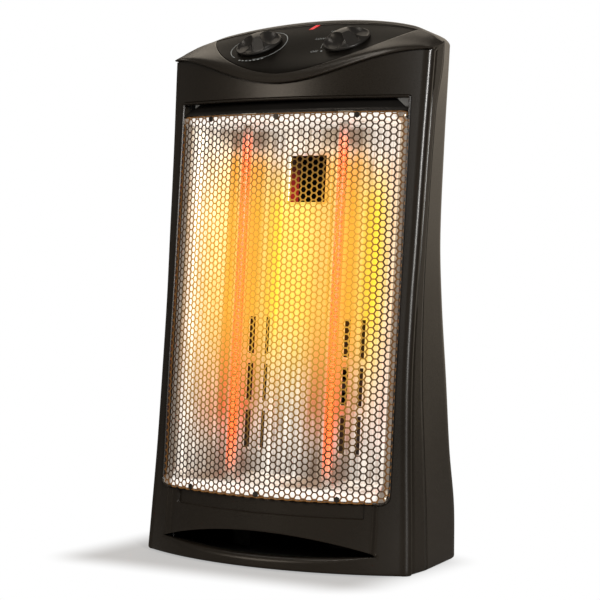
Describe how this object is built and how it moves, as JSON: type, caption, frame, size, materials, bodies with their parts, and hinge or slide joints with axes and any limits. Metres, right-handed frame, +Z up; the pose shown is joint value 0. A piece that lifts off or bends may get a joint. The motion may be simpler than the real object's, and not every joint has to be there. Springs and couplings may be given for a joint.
{
  "type": "quartz heater",
  "caption": "Tower quartz heater: upright quartz tubes in a bright reflector behind a bowed honeycomb guard, a fan, and thermostat and selector knobs on a sloping head.",
  "frame": {"origin": "on the floor, under the middle of the whole heater's box", "axes": "+Z up along the height, the guarded front faces -Y, +X to the right as seen from the front"},
  "size_m": [0.3368, 0.1956, 0.59],
  "materials": {
    "shell": "satin, fine moulded grain",
    "panel": "matte, darker than the shell",
    "knob": "soft satin",
    "black_plastic": "matte",
    "rubber": "matte",
    "guard_wire": "dark heat-proof coating",
    "dark_screw": "blackened",
    "reflector_sheet": "bright polished sheet",
    "galvanised": "galvanised sheet",
    "steel": "satin",
    "quartz": "milky quartz, glowing orange when on",
    "coil_wire": "resistance wire, glowing when on",
    "ceramic": "unglazed ceramic",
    "red_lens": "translucent red"
  },
  "bodies": {
    "body": {"front_bezel": "shell", "rear_housing": "shell", "control_panel": "panel", "base_plate": "black_plastic", "rubber_foot_1": "rubber", "rubber_foot_2": "rubber", "rubber_foot_3": "rubber", "rubber_foot_4": "rubber", "mesh_guard": "guard_wire", "hot_air_deflector": "guard_wire", "tip_switch_body": "black_plastic", "tip_switch_spring": "steel", "terminal_block": "black_plastic", "cord_gland": "black_plastic", "reflector": "reflector_sheet", "vent_duct": "galvanised", "heat_shield": "galvanised", "quartz_tube_left": "quartz", "quartz_tube_right": "quartz", "heating_coil_left": "coil_wire", "heating_coil_right": "coil_wire", "tube_cap_lower_left": "ceramic", "tube_cap_upper_left": "ceramic", "tube_cap_lower_right": "ceramic", "tube_cap_upper_right": "ceramic", "tube_bracket_lower": "galvanised", "tube_bracket_upper": "galvanised", "fan_shroud": "black_plastic", "fan_motor": "steel", "thermal_cutout": "ceramic", "thermostat_body": "black_plastic", "switch_body": "black_plastic", "indicator_lens": "red_lens", "guard_screw_1": "dark_screw", "guard_screw_2": "dark_screw", "guard_screw_3": "dark_screw", "guard_screw_4": "dark_screw", "guard_screw_5": "dark_screw", "guard_screw_6": "dark_screw", "base_screw_1": "steel", "base_screw_2": "steel", "base_screw_3": "steel", "base_screw_4": "steel", "housing_screw_1": "steel", "housing_screw_2": "steel", "shield_screw_1": "steel", "shield_screw_2": "steel", "shield_screw_3": "steel", "shield_screw_4": "steel", "shroud_screw_1": "steel", "shroud_screw_2": "steel", "motor_screw_1": "steel", "motor_screw_2": "steel"},
    "thermostat_dial": {"thermostat_knob": "knob", "thermostat_shaft": "steel"},
    "selector_dial": {"switch_knob": "knob", "switch_shaft": "steel"},
    "fan_rotor": {"fan_impeller": "black_plastic", "fan_shaft": "steel"},
    "tip_plunger": {"tip_switch_plunger": "steel"}
  },
  "joints": [
    {"name": "thermostat_turn", "type": "hinge", "parent": "body", "child": "thermostat_dial", "pos_m": [-0.0565, 0.00307, 0.5619], "axis": [0, -0.4973, 0.8676], "range_deg": [-163, 107]},
    {"name": "selector_turn", "type": "hinge", "parent": "body", "child": "selector_dial", "pos_m": [0.0565, 0.00307, 0.5619], "axis": [0, -0.4973, 0.8676], "range_deg": [0, 92]},
    {"name": "fan_spin", "type": "hinge", "parent": "body", "child": "fan_rotor", "pos_m": [0, 0.03052, 0.18725], "axis": [0, 0.9952, -0.0983], "continuous": true},
    {"name": "tip_plunger_slide", "type": "slide", "parent": "body", "child": "tip_plunger", "axis": [0, 0, -1], "range_m": [0, 0.006], "stiffness_N_per_m": 150, "springref_m": 0.009, "deforming": ["tip_switch_spring"]}
  ]
}
